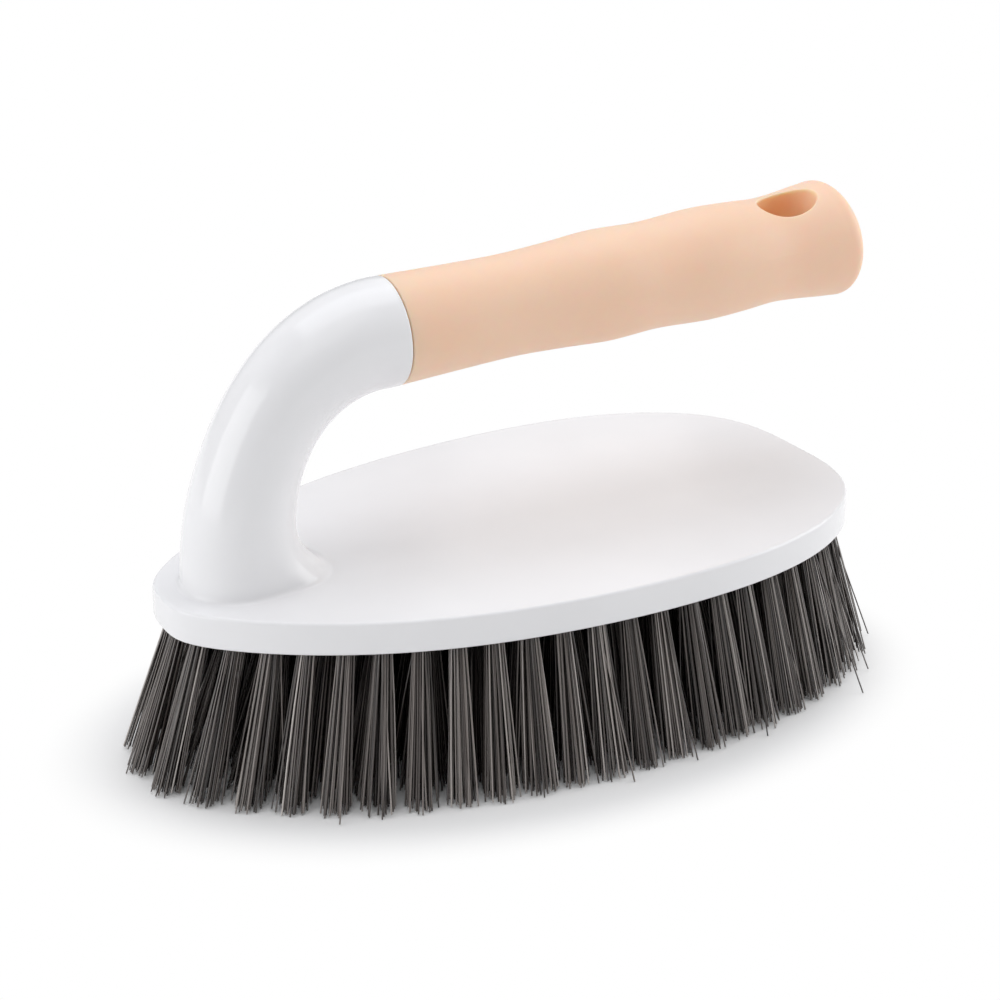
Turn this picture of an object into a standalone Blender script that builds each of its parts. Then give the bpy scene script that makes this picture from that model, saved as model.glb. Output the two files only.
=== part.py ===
"""Scrubbing brush: an oval back with a gooseneck neck, a waved grip on its spigot, and rings of
tufts held in a drilled plate.

The bristle tips stand on z = 0 under the middle of the back, +X runs from the neck to the free end.
"""

import math

import bmesh
import bpy
import numpy as np
from mathutils import Vector

MM = 0.001

# Back: the oval block seen from above, with its skirt hanging down round the tuft plate
BACK_LENGTH = 210 * MM
BACK_WIDTH = 117 * MM
BACK_THICKNESS = 9.2 * MM
BACK_DRAFT = math.radians(1.7)
TOP_EDGE_RADIUS = 1.4 * MM
LOWER_EDGE_RADIUS = 0.8 * MM
TOP_WALL = 2.2 * MM
SKIRT_WALL = 2.6 * MM
LEDGE_WIDTH = 1.6 * MM
# The outline is a rounded oval, fuller towards the free end
OUTLINE_BLUNTNESS_SHARE = 0.298
OUTLINE_SWELL_SHARES = (0.176, -0.076, 0.100, -0.168)

# Neck: one sweep from the foot on the back to the seam with the grip
FOOT_FROM_END = 22 * MM
BEND_REACH = 43.1 * MM
AXIS_HEIGHT = 61.55 * MM
NECK_RISE = 37.5 * MM
NECK_PULL = 24.4 * MM
SEAM_FROM_BEND = 3.2 * MM
SEAM_RADIUS = 14.9 * MM
SEAM_EDGE_RADIUS = 0.4 * MM
GRIP_TILT = math.radians(1.84)
NECK_WALL = 3.2 * MM
# Radius of the neck along its length, in seam radii
NECK_RADIUS_SHARES = ((0, 1.04), (0.2, 0.99), (0.4, 0.92), (0.6, 0.908), (0.8, 0.95), (1, 1.0))
# The foot is drawn out on the side of the hand only, with straight flanks and a blunt front
FOOT_FLARE = 8 * MM
FOOT_FLARE_HEIGHT = 14 * MM
FOOT_FLARE_POWER = 2.5
FOOT_STEP = 0.3 * MM
FOOT_FLANK_SHARE = 0.25
FOOT_FRONT_POWER = 0.85
FLARE_RING_SHARES = (0, 0.1, 0.24, 0.45, 0.7, 1)

# Spigot: the neck goes on into the grip's socket and snaps in with a bead
SPIGOT_LENGTH = 84 * MM
SPIGOT_SHOULDER = 4.1 * MM
SPIGOT_WALL = 2.8 * MM
SPIGOT_TAPER = 0.4 * MM
BEAD_HEIGHT = 0.6 * MM
BEAD_LENGTH = 4 * MM
BEAD_FROM_END = 9 * MM

# Grip: waves along its length, narrows round its hanging eye, and flares to a slightly raked end
GRIP_LENGTH = 145.9 * MM
GRIP_EDGE_RADIUS = 0.3 * MM
GRIP_END_DOME = 6.3 * MM
GRIP_END_RAKE = math.radians(5.7)
GRIP_DOME_POWER = 0.8
GRIP_RADIUS_SHARES = (
    (0, 0.995), (0.14, 0.960), (0.25, 0.947), (0.355, 0.995), (0.455, 1.058), (0.555, 1.030),
    (0.705, 1.096), (0.78, 1.072), (0.845, 1.039), (0.91, 1.080), (0.955, 1.132), (1, 1.171),
)
# The eye is an oval slot, turned a little towards the near side
EYE_TO_DOME = 17 * MM
EYE_LENGTH = 19.6 * MM
EYE_WIDTH = 11.8 * MM
EYE_TURN = math.radians(16)
FIT_GAP = 0.3 * MM

# Tuft plate: closes the back from below and fills the room under the tufts' backing slices
PLATE_RECESS = 0.4 * MM
PLATE_EDGE_CHAMFER = 0.4 * MM
HOLE_RADIUS = 2.7 * MM
SLICE_THICKNESS = 1 * MM
SLICE_MARGIN = 0.4 * MM

# Tufts: rings that follow the outline round one middle row
BRISTLE_LENGTH = 42 * MM
RIM_TO_TUFTS = 6.8 * MM
RING_COUNT = 5
OUTER_PITCH = 9.6 * MM
INNER_PITCH = 13 * MM
OUTER_PHASE_SHARE = 0.9
INNER_PHASE_SHARE = 0.5
ROW_FROM_RING = 17 * MM
TUFTS_IN_SLICE = 5
TUFTS_IN_ROW_SLICE = 3
OUTER_LEAN = 13.8 * MM
NECK_END_LEAN_SHARE = 0.17
STRAND_RADIUS = 0.7 * MM
TUFT_GAP = 0.25 * MM
FAN_AT_TIPS = 3.9 * MM
STRAND_SIDES = 3
STRANDS_AROUND = 3

# Facets
OUTLINE_POINTS = 72
OUTLINE_FINE_STEPS = 24000
NECK_LINE_STEPS = 200
NECK_SIDES = 28
NECK_RINGS = 13
BORE_SIDES = 16
SOCKET_SIDES = 20
GRIP_RINGS = 26
DOME_RINGS = 5
EDGE_RINGS = 3
HOLE_SIDES = 8
EYE_SIDES = 28
OVERRUN = 5 * MM

# Places and sizes that follow from those above, with z = 0 at the bristle tips
SKIRT_Z = BRISTLE_LENGTH
BACK_Z = SKIRT_Z + BACK_THICKNESS
CEILING_Z = BACK_Z - TOP_WALL
SLICE_TOP_Z = CEILING_Z - FIT_GAP
SLICE_Z = SLICE_TOP_Z - SLICE_THICKNESS
PLATE_TOP_Z = SLICE_Z - FIT_GAP
PLATE_Z = SKIRT_Z + PLATE_RECESS
AXIS_Z = BACK_Z + AXIS_HEIGHT
FOOT_X = FOOT_FROM_END - BACK_LENGTH / 2
BEND_X = FOOT_X + BEND_REACH
SPIGOT_RADIUS = SEAM_RADIUS - SPIGOT_SHOULDER
SPIGOT_BORE_RADIUS = SPIGOT_RADIUS - SPIGOT_WALL

# Colours are linear
WHITE = (0.84, 0.84, 0.86, 1)
PEACH = (0.86, 0.57, 0.40, 1)
DARK_GREY = (0.10, 0.085, 0.075, 1)


def clear_scene():
    for obj in list(bpy.data.objects):
        bpy.data.objects.remove(obj, do_unlink=True)


def material(name, colour, roughness):
    made = bpy.data.materials.get(name)
    if made:
        return made
    made = bpy.data.materials.new(name)
    made.use_nodes = True
    shader = made.node_tree.nodes["Principled BSDF"]
    shader.inputs["Base Color"].default_value = colour
    shader.inputs["Roughness"].default_value = roughness
    shader.inputs["Metallic"].default_value = 0
    made.diffuse_color = colour
    return made


def smooth_through(pairs, at):
    """Heights, at the given places, of the smooth curve through (place, height) pairs."""
    place, height = np.array(pairs, float).T
    slope = np.gradient(height, place)
    i = np.clip(np.searchsorted(place, at, side="right") - 1, 0, len(place) - 2)
    step = place[i + 1] - place[i]
    t = (at - place[i]) / step
    return (
        (2 * t**3 - 3 * t**2 + 1) * height[i]
        + (t**3 - 2 * t**2 + t) * step * slope[i]
        + (3 * t**2 - 2 * t**3) * height[i + 1]
        + (t**3 - t**2) * step * slope[i + 1]
    )


def add_ring_body(bm, rings):
    """Adds a closed body through rings of equally many points, with flat ends."""
    loops = [[bm.verts.new(point) for point in ring] for ring in rings]
    for low, high in zip(loops, loops[1:]):
        for i in range(len(low)):
            bm.faces.new((low[i - 1], low[i], high[i], high[i - 1]))
    bm.faces.new(loops[0])
    bm.faces.new(loops[-1])


def add_object(name, bodies, finish):
    """An object of one or more ring bodies, with smooth rounds and sharp edges."""
    bm = bmesh.new()
    for rings in bodies:
        add_ring_body(bm, rings)
    bmesh.ops.recalc_face_normals(bm, faces=bm.faces)
    mesh = bpy.data.meshes.new(name)
    bm.to_mesh(mesh)
    bm.free()
    mesh.shade_smooth()
    mesh.set_sharp_from_angle(angle=math.radians(35))
    obj = bpy.data.objects.new(name, mesh)
    bpy.context.scene.collection.objects.link(obj)
    mesh.materials.append(finish)
    return obj


def helper(name, bodies, finish):
    """A body that only cuts or joins another."""
    obj = add_object(name, bodies, finish)
    obj.hide_render = True
    obj.display_type = "WIRE"
    return obj


def combine(obj, other, operation):
    step = obj.modifiers.new(f"{operation.lower()}_{other.name}", "BOOLEAN")
    step.operation = operation
    step.solver = "EXACT"
    step.object = other


def oval():
    """Closed outline of the back in fine steps, from the neck end round by the near side."""
    turn = np.linspace(0, 2 * np.pi, OUTLINE_FINE_STEPS + 1)
    along = -np.cos(turn)
    swell = 1 + sum(share * along ** (i + 1) for i, share in enumerate(OUTLINE_SWELL_SHARES))
    across = -np.sign(np.sin(turn)) * np.abs(np.sin(turn)) ** (2 * OUTLINE_BLUNTNESS_SHARE) * swell
    return np.stack([along * BACK_LENGTH / 2, across / across.max() * BACK_WIDTH / 2], axis=1)


def even_points(line, count, phase_share=0):
    """Points at equal steps along a closed line, and the outward direction at each."""
    run = np.concatenate([[0], np.cumsum(np.hypot(*np.diff(line, axis=0).T))])
    at = (np.arange(count) + phase_share) / count * run[-1]
    nudge = run[-1] / len(line)

    def point(place):
        place = place % run[-1]
        return np.stack([np.interp(place, run, line[:, k]) for k in (0, 1)], axis=1)

    along = point(at + nudge) - point(at - nudge)
    along /= np.linalg.norm(along, axis=1)[:, None]
    return point(at), np.stack([along[:, 1], -along[:, 0]], axis=1)


def perimeter(line):
    return np.hypot(*np.diff(line, axis=0).T).sum()


def oval_ring(centre, radius, sides, height, across_share=1, start=0):
    """Level ring round a centre, its first corner at the start turn; narrowed across X if asked."""
    turns = [start + 2 * math.pi * i / sides for i in range(sides)]
    return [
        (centre[0] + radius * math.cos(t), centre[1] + radius * across_share * math.sin(t), height)
        for t in turns
    ]


def level_rings(profile):
    """Rings of the back's outline, one for each (inset, height)."""
    points, outward = even_points(oval(), OUTLINE_POINTS)
    rings = []
    for inset, height in profile:
        flat = points - outward * inset
        rings.append([(x, y, height) for x, y in flat])
    return rings


def back_profile():
    """(inset, height) up the back's side, from the rounded lower edge to the rounded top edge."""
    low_inset = -BACK_THICKNESS * math.tan(BACK_DRAFT)
    lower, upper = [], []
    for i in range(EDGE_RINGS):
        turn = i / (EDGE_RINGS - 1) * math.pi / 2
        lower.append((
            low_inset + LOWER_EDGE_RADIUS * (1 - math.sin(turn)),
            SKIRT_Z + LOWER_EDGE_RADIUS * (1 - math.cos(turn)),
        ))
        upper.append((
            TOP_EDGE_RADIUS * (1 - math.cos(turn)),
            BACK_Z - TOP_EDGE_RADIUS * (1 - math.sin(turn)),
        ))
    return lower + upper


def grip_point(along):
    """Point on the grip's axis, measured from the end of the bend."""
    return Vector((
        BEND_X + along * math.cos(GRIP_TILT),
        0,
        AXIS_Z + along * math.sin(GRIP_TILT),
    ))


def neck_line():
    """Fine points and directions of the neck's centreline, with the length up to each."""
    foot = Vector((FOOT_X, 0, BACK_Z))
    lift = foot + Vector((0, 0, NECK_RISE))
    pull = grip_point(-NECK_PULL)
    t = np.linspace(0, 1, NECK_LINE_STEPS)[:, None]
    ends = [np.array(p) for p in (foot, lift, pull, grip_point(0))]
    line = (
        (1 - t) ** 3 * ends[0] + 3 * (1 - t) ** 2 * t * ends[1]
        + 3 * (1 - t) * t**2 * ends[2] + t**3 * ends[3]
    )
    ahead = (
        (1 - t) ** 2 * (ends[1] - ends[0]) + 2 * (1 - t) * t * (ends[2] - ends[1])
        + t**2 * (ends[3] - ends[2])
    )
    ahead /= np.linalg.norm(ahead, axis=1)[:, None]
    run = np.concatenate([[0], np.cumsum(np.linalg.norm(np.diff(line, axis=0), axis=1))])
    return line, ahead, run


def round_ring(centre, ahead, radius, sides, flare_share=0):
    """Ring square to its direction, which lies in the XZ plane; a flare draws out its inner half."""
    inner = np.array((ahead[2], 0, -ahead[0]))
    power = 1 - (1 - FOOT_FRONT_POWER) * flare_share
    ring = []
    for i in range(sides):
        turn = 2 * math.pi * i / sides
        towards, across = math.cos(turn), math.sin(turn)
        if towards > 0:
            drawn = FOOT_FLARE * flare_share * min(1, towards / FOOT_FLANK_SHARE)
            towards = towards**power + drawn / radius
            across = math.copysign(abs(across) ** power, across)
        ring.append(centre + radius * (towards * inner + across * np.array((0, 1, 0))))
    return ring


def axis_ring(along, radius, sides):
    ahead = np.array((math.cos(GRIP_TILT), 0, math.sin(GRIP_TILT)))
    return round_ring(np.array(grip_point(along)), ahead, radius, sides)


def bead_profile(length, radius):
    """(place, radius) past the snap bead, for a length that ends in a slight taper."""
    middle = length - BEAD_FROM_END
    return [
        (middle - BEAD_LENGTH / 2, radius),
        (middle, radius + BEAD_HEIGHT),
        (middle + BEAD_LENGTH / 2, radius),
        (length, radius - SPIGOT_TAPER),
    ]


def neck_rings():
    """The neck's outside, from inside the back to the tip of its spigot."""
    line, ahead, run = neck_line()
    low = [FOOT_STEP + share * FOOT_FLARE_HEIGHT for share in FLARE_RING_SHARES]
    rest = np.linspace(low[-1], run[-1], NECK_RINGS)[1:]
    rings = []
    for length in (*low, *rest):
        centre = [np.interp(length, run, line[:, k]) for k in range(3)]
        towards = [np.interp(length, run, ahead[:, k]) for k in range(3)]
        radius = SEAM_RADIUS * smooth_through(NECK_RADIUS_SHARES, length / run[-1])
        flare_share = max(0, 1 - (length - FOOT_STEP) / FOOT_FLARE_HEIGHT) ** FOOT_FLARE_POWER
        rings.append(round_ring(np.array(centre), towards, radius, NECK_SIDES, flare_share))
    sunk = [point - np.array((0, 0, FOOT_STEP + TOP_WALL / 2)) for point in rings[0]]
    seam = SEAM_FROM_BEND
    rings = [sunk, *rings]
    rings.append(axis_ring(seam - SEAM_EDGE_RADIUS, SEAM_RADIUS, NECK_SIDES))
    rings.append(axis_ring(seam, SEAM_RADIUS - SEAM_EDGE_RADIUS, NECK_SIDES))
    rings.append(axis_ring(seam, SPIGOT_RADIUS, NECK_SIDES))
    for place, radius in bead_profile(SPIGOT_LENGTH, SPIGOT_RADIUS):
        rings.append(axis_ring(seam + place, radius, NECK_SIDES))
    return rings


def bore_rings():
    """The hollow of the neck, from the cavity of the back out through the spigot's tip."""
    line, ahead, run = neck_line()
    seam_wall = SEAM_RADIUS - SPIGOT_BORE_RADIUS
    rings = []
    for length in np.linspace(0, run[-1], NECK_RINGS):
        share = length / run[-1]
        wall = NECK_WALL + (seam_wall - NECK_WALL) * share**4
        centre = np.array([np.interp(length, run, line[:, k]) for k in range(3)])
        towards = [np.interp(length, run, ahead[:, k]) for k in range(3)]
        radius = SEAM_RADIUS * smooth_through(NECK_RADIUS_SHARES, share) - wall
        rings.append(round_ring(centre, towards, radius, BORE_SIDES))
    sunk = [point - np.array((0, 0, (BACK_Z + TOP_WALL) - CEILING_Z)) for point in rings[0]]
    end = SEAM_FROM_BEND + SPIGOT_LENGTH + OVERRUN
    return [sunk, *rings, axis_ring(end, SPIGOT_BORE_RADIUS, BORE_SIDES)]


def cavity_rings():
    """The hollow under the back, stepped in above the tuft plate so that the plate has a seat."""
    seat = PLATE_TOP_Z + FIT_GAP
    return level_rings((
        (SKIRT_WALL, SKIRT_Z - OVERRUN),
        (SKIRT_WALL, seat),
        (SKIRT_WALL + LEDGE_WIDTH, seat),
        (SKIRT_WALL + LEDGE_WIDTH, CEILING_Z),
    ))


def make_back_shell(finish):
    shell = add_object("back_shell", [level_rings(back_profile())], finish)
    combine(shell, helper("join_neck", [neck_rings()], finish), "UNION")
    combine(shell, helper("cut_cavity", [cavity_rings()], finish), "DIFFERENCE")
    combine(shell, helper("cut_bore", [bore_rings()], finish), "DIFFERENCE")
    return shell


def grip_ring(along, radius, sides, rake_share=0):
    """Ring across the grip in its own frame, with its axis on X from the seam."""
    lean = math.tan(GRIP_END_RAKE) * rake_share
    ring = []
    for i in range(sides):
        turn = 2 * math.pi * i / sides
        across, up = radius * math.sin(turn), radius * math.cos(turn)
        ring.append((along - lean * up, across, up))
    return ring


def grip_outer_rings():
    edge = SEAM_RADIUS - GRIP_EDGE_RADIUS
    rings = [grip_ring(FIT_GAP, edge, NECK_SIDES)]
    for along in np.linspace(FIT_GAP + GRIP_EDGE_RADIUS, GRIP_LENGTH, GRIP_RINGS):
        share = along / GRIP_LENGTH
        radius = SEAM_RADIUS * smooth_through(GRIP_RADIUS_SHARES, share)
        rings.append(grip_ring(along, radius, NECK_SIDES, share**8))
    end_radius = SEAM_RADIUS * GRIP_RADIUS_SHARES[-1][1]
    for i in range(1, DOME_RINGS + 1):
        turn = i / (DOME_RINGS + 1) * math.pi / 2
        along = GRIP_LENGTH + GRIP_END_DOME * math.sin(turn)
        rings.append(grip_ring(along, end_radius * math.cos(turn) ** GRIP_DOME_POWER, NECK_SIDES, 1))
    return rings


def socket_rings():
    """The grip's socket: the spigot's shape with the fit gap all round."""
    depth = SPIGOT_LENGTH + FIT_GAP
    radius = SPIGOT_RADIUS + FIT_GAP
    rings = [grip_ring(-OVERRUN, radius, SOCKET_SIDES)]
    for place, reach in bead_profile(SPIGOT_LENGTH, radius):
        rings.append(grip_ring(min(place, depth), reach, SOCKET_SIDES))
    rings.append(grip_ring(depth, radius - SPIGOT_TAPER, SOCKET_SIDES))
    return rings


def eye_rings():
    centre = (GRIP_LENGTH - EYE_TO_DOME, 0)
    reach = SEAM_RADIUS + OVERRUN
    across = EYE_WIDTH / EYE_LENGTH
    return [oval_ring(centre, EYE_LENGTH / 2, EYE_SIDES, z, across) for z in (-reach, reach)]


def make_grip(finish):
    grip = add_object("grip", [grip_outer_rings()], finish)
    for name, rings, turn in (("cut_socket", socket_rings(), 0), ("cut_eye", eye_rings(), EYE_TURN)):
        cutter = helper(name, [rings], finish)
        cutter.parent = grip
        cutter.rotation_euler = (turn, 0, 0)
        combine(grip, cutter, "DIFFERENCE")
    grip.location = grip_point(SEAM_FROM_BEND)
    grip.rotation_euler = (0, -GRIP_TILT, 0)
    return grip


def drawn_in(line, inset):
    """A closed line moved inwards by an even inset."""
    along = np.roll(line[:-1], -1, axis=0) - np.roll(line[:-1], 1, axis=0)
    along /= np.linalg.norm(along, axis=1)[:, None]
    moved = line[:-1] - np.stack([along[:, 1], -along[:, 0]], axis=1) * inset
    return np.concatenate([moved, moved[:1]])


def tuft_line(number):
    """The line that a ring of tufts follows: the outermost one, shrunk by its place inwards."""
    outermost = drawn_in(oval(), RIM_TO_TUFTS)
    inset = (BACK_WIDTH / 2 - RIM_TO_TUFTS) * number / RING_COUNT
    return outermost * (1 - inset / outermost.max(axis=0))


def lean_at(points, outward, ring_share):
    """How far each tuft leans outwards by its tips; the neck end leans a little more."""
    more = 1 - NECK_END_LEAN_SHARE * points[:, 0] / (BACK_LENGTH / 2)
    return outward * (OUTER_LEAN * ring_share * more)[:, None]


def tuft_rings():
    """The tufts' mouths and leans of each ring, from the rim inwards."""
    rings = []
    for number in range(RING_COUNT):
        line = tuft_line(number)
        pitch = INNER_PITCH if number else OUTER_PITCH
        phase = INNER_PHASE_SHARE if number else OUTER_PHASE_SHARE
        points, outward = even_points(line, round(perimeter(line) / pitch), phase)
        rings.append((points, lean_at(points, outward, 1 - number / RING_COUNT)))
    return rings


def middle_row():
    """The straight row inside the innermost ring, with one tuft at the very middle."""
    half = tuft_line(RING_COUNT - 1)[:, 0].max() - ROW_FROM_RING
    side = max(1, round(half / OUTER_PITCH))
    points = np.array([(half * i / side, 0) for i in range(-side, side + 1)])
    return points, np.zeros_like(points)


def tuft_axis(mouth, lean, height):
    """Point of a tuft's straight axis at a height; the mouth is where it leaves the plate."""
    drop = (PLATE_Z - height) / PLATE_Z
    return mouth + lean * drop


def fan_reach(height):
    """How far a tuft's strands stand from its axis: clear of the hole in the plate, wide at the tips."""
    mouth = HOLE_RADIUS * math.cos(math.pi / HOLE_SIDES) - TUFT_GAP - STRAND_RADIUS
    return mouth + (FAN_AT_TIPS - mouth) * (PLATE_Z - height) / PLATE_Z


def strand_rings(mouth, lean, index):
    """One strand, from inside its backing slice to its tip, which is cut off level at z = 0. Past
    those around the tuft's axis comes one along it."""
    turn = 2 * math.pi * index / STRANDS_AROUND
    out = np.array((math.cos(turn), math.sin(turn))) * (index < STRANDS_AROUND)
    rings = []
    for height in ((SLICE_Z + SLICE_TOP_Z) / 2, 0):
        centre = tuft_axis(mouth, lean, height) + out * fan_reach(height)
        rings.append(oval_ring(centre, STRAND_RADIUS, STRAND_SIDES, height, start=turn))
    return rings


def strip_rings(points):
    """A backing slice: a flat strip that follows the tops of its tufts, with short free ends."""
    half_width = fan_reach(SLICE_Z) + STRAND_RADIUS + SLICE_MARGIN
    first = (points[0] - points[1]) / np.linalg.norm(points[0] - points[1])
    last = (points[-1] - points[-2]) / np.linalg.norm(points[-1] - points[-2])
    middle = np.concatenate([
        [points[0] + first * half_width], points, [points[-1] + last * half_width],
    ])
    along = np.gradient(middle, axis=0)
    along /= np.linalg.norm(along, axis=1)[:, None]
    side = np.stack([along[:, 1], -along[:, 0]], axis=1) * half_width
    edge = np.concatenate([middle + side, (middle - side)[::-1]])
    return [[(x, y, height) for x, y in edge] for height in (SLICE_Z, SLICE_TOP_Z)]


def make_tufts(name, points, leans, strands, finish):
    """One group of tufts, its strands joined to the slice that backs them."""
    tops = np.array([tuft_axis(p, lean, SLICE_Z) for p, lean in zip(points, leans)])
    group = add_object(name, [strip_rings(tops)], finish)
    bodies = [
        strand_rings(point, lean, index)
        for point, lean in zip(points, leans)
        for index in range(strands)
    ]
    combine(group, helper(f"join_{name}", bodies, finish), "UNION")


def make_all_tufts(finish):
    """Names count from the rim inwards, and round from the neck end. The middle row's tufts have a
    strand along their axis too, so that one ends at the origin, where the brush's mount is."""
    rings = enumerate(tuft_rings())
    groups = [(f"tuft_ring_{n + 1}", *ring, STRANDS_AROUND, TUFTS_IN_SLICE) for n, ring in rings]
    groups.append(("tuft_middle_row", *middle_row(), STRANDS_AROUND + 1, TUFTS_IN_ROW_SLICE))
    for name, points, leans, strands, together in groups:
        parts = np.array_split(range(len(points)), max(1, round(len(points) / together)))
        for number, part in enumerate(parts):
            make_tufts(f"{name}_{number + 1:02d}", points[part], leans[part], strands, finish)


def hole_rings(mouth, lean):
    """A drilled hole along its tuft's axis, through the plate and past both faces."""
    return [
        oval_ring(tuft_axis(mouth, lean, height), HOLE_RADIUS, HOLE_SIDES, height)
        for height in (PLATE_Z - OVERRUN, PLATE_TOP_Z + OVERRUN)
    ]


def make_tuft_plate(finish):
    edge = SKIRT_WALL + FIT_GAP
    plate = add_object("tuft_plate", [level_rings((
        (edge + PLATE_EDGE_CHAMFER, PLATE_Z),
        (edge, PLATE_Z + PLATE_EDGE_CHAMFER),
        (edge, PLATE_TOP_Z),
    ))], finish)
    holes = [
        hole_rings(point, lean)
        for points, leans in (*tuft_rings(), middle_row())
        for point, lean in zip(points, leans)
    ]
    combine(plate, helper("cut_holes", holes, finish), "DIFFERENCE")
    return plate


def main():
    clear_scene()
    make_back_shell(material("white_gloss_plastic", WHITE, 0.22))
    make_grip(material("peach_matt_plastic", PEACH, 0.55))
    make_tuft_plate(material("white_block_plastic", WHITE, 0.4))
    make_all_tufts(material("dark_monofilament", DARK_GREY, 0.38))


main()
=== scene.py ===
"""Looks of the scrubbing brush: one moulded back with its gooseneck neck, a waved grip with a
hanging eye, a drilled tuft plate, and filaments bunched in tufts, on a white studio floor.
"""

import math

import bpy
import numpy as np
from mathutils import Matrix, Vector


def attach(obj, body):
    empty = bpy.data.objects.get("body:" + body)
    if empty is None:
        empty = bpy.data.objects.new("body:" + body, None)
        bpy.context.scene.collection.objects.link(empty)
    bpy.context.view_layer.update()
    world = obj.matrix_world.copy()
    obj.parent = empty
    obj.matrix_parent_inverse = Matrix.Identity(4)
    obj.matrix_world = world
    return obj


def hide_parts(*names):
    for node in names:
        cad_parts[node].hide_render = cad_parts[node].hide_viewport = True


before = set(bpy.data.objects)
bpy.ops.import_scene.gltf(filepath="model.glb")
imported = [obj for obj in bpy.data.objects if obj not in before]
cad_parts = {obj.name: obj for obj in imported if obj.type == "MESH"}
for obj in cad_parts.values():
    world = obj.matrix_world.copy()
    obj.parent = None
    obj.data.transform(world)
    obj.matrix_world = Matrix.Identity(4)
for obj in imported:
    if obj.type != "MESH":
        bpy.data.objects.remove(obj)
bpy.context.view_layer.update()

MM = 0.001

# Sizes in millimetres, as the solids have them, apart from the foot's flare and fillet, fitted to
# the photograph later, and the small rounded edges; z = 0 is at the bristle tips
BACK_LENGTH = 210
BACK_WIDTH = 117
BACK_DRAFT = math.radians(1.7)
TOP_EDGE_RADIUS = 0.9
LOWER_EDGE_RADIUS = 0.8
SKIRT_WALL = 2.6
SKIRT_Z = 42
BACK_Z = 51.2
CEILING_Z = 49
PLATE_Z = 42.4
OUTLINE_BLUNTNESS = 0.298
OUTLINE_SWELLS = (0.176, -0.076, 0.100, -0.168)
FOOT_X = -83
BEND_X = -39.9
AXIS_Z = 112.75
NECK_RISE = 37.5
NECK_PULL = 24.4
SEAM_FROM_BEND = 3.2
SEAM_RADIUS = 14.9
SEAM_EDGE_RADIUS = 0.45
GRIP_TILT = math.radians(1.84)
# (share of the length, share of the radius at the seam)
NECK_RADII = ((0, 1.04), (0.2, 0.99), (0.4, 0.92), (0.6, 0.908), (0.8, 0.95), (1, 1.0))
FOOT_FLARE = 9
FOOT_FLARE_HEIGHT = 26
FOOT_FLARE_POWER = 3.2
FOOT_FRONT_POWER = 0.92
# Share of the neck's half width from which the foot is drawn out in full
FOOT_FRONT_SHARE = 0.65
FOOT_FILLET = 1.3
SPIGOT_RADIUS = 10.8
SPIGOT_LENGTH = 84
SPIGOT_TAPER = 0.4
GRIP_LENGTH = 145.9
GRIP_RADII = (
    (0, 0.995), (0.14, 0.960), (0.25, 0.947), (0.355, 0.995), (0.455, 1.058), (0.555, 1.030),
    (0.705, 1.096), (0.78, 1.072), (0.845, 1.039), (0.91, 1.080), (0.955, 1.132), (1, 1.171),
)
GRIP_END_DOME = 6.3
GRIP_END_RAKE = math.radians(5.7)
GRIP_DOME_POWER = 0.8
GRIP_EDGE_RADIUS = 0.35
FIT_GAP = 0.3
EYE_ALONG = 128.9
EYE_HALF_LENGTH = 9.8
EYE_HALF_WIDTH = 5.9
EYE_TURN = math.radians(16)
EYE_EDGE = 0.7
RIM_TO_TUFTS = 6.8
RING_COUNT = 5
TUFTS_IN_GROUP = 5
TUFTS_IN_ROW_GROUP = 3
OUTER_PITCH = 9.6
INNER_PITCH = 13
# Where a ring's first tuft stands, as a share of the pitch
OUTER_START = 0.9
INNER_START = 0.5
ROW_FROM_RING = 17
OUTER_LEAN = 13.8
NECK_END_LEAN = 0.17
LEAN_ALONG = 0.37
LEAN_MIDDLE = 6

# How finely the moulded pieces are drawn: points round them, and rows along each stretch
AROUND = 192
GRIP_SIDES = 96
EDGE_ROWS = 7
TOP_EDGE_ROWS = 9
FLARE_ROWS = 34
FLARE_ROWS_CROWD = 1.4
NECK_ROWS = 58
SEAM_ROWS = 6
GRIP_EDGE_ROWS = 5
GRIP_ROWS = 92
WINDOW_ROWS = 31
DOME_POINTS = 12
DOME_ROWS = 60
# Rows this far from a rounded edge keep the flat beside it flat to the eye
FLAT_HOLD = 0.5
FLAT_HOLD_FURTHER = 1.2
FOOT_HOLDS = (1.5, 0.7, 0.3)
SKIRT_EDGE = 0.4
CEILING_REACH = 3


def smooth_through(pairs, at):
    """Heights, at the given places, of the smooth curve through (place, height) pairs."""
    place, height = np.array(pairs, float).T
    slope = np.gradient(height, place)
    i = np.clip(np.searchsorted(place, at, side="right") - 1, 0, len(place) - 2)
    step = place[i + 1] - place[i]
    t = (at - place[i]) / step
    return (
        (2 * t**3 - 3 * t**2 + 1) * height[i]
        + (t**3 - 2 * t**2 + t) * step * slope[i]
        + (3 * t**2 - 2 * t**3) * height[i + 1]
        + (t**3 - t**2) * step * slope[i + 1]
    )


def ease(t):
    t = np.clip(t, 0, 1)
    return t * t * (3 - 2 * t)


def new_piece(name, points, faces, finish, sharp=40):
    """A smooth-shaded mesh piece from points in millimetres."""
    mesh = bpy.data.meshes.new(name)
    mesh.from_pydata(np.asarray(points, float) * MM, [], faces)
    mesh.validate()
    mesh.shade_smooth()
    mesh.set_sharp_from_angle(angle=math.radians(sharp))
    mesh.materials.append(finish)
    obj = bpy.data.objects.new(name, mesh)
    bpy.context.scene.collection.objects.link(obj)
    return obj


def strip_faces(first, second, closed=True):
    """Quads between two rows of point numbers."""
    count = len(first)
    last = count if closed else count - 1
    return [
        (first[i], first[(i + 1) % count], second[(i + 1) % count], second[i]) for i in range(last)
    ]


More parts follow.
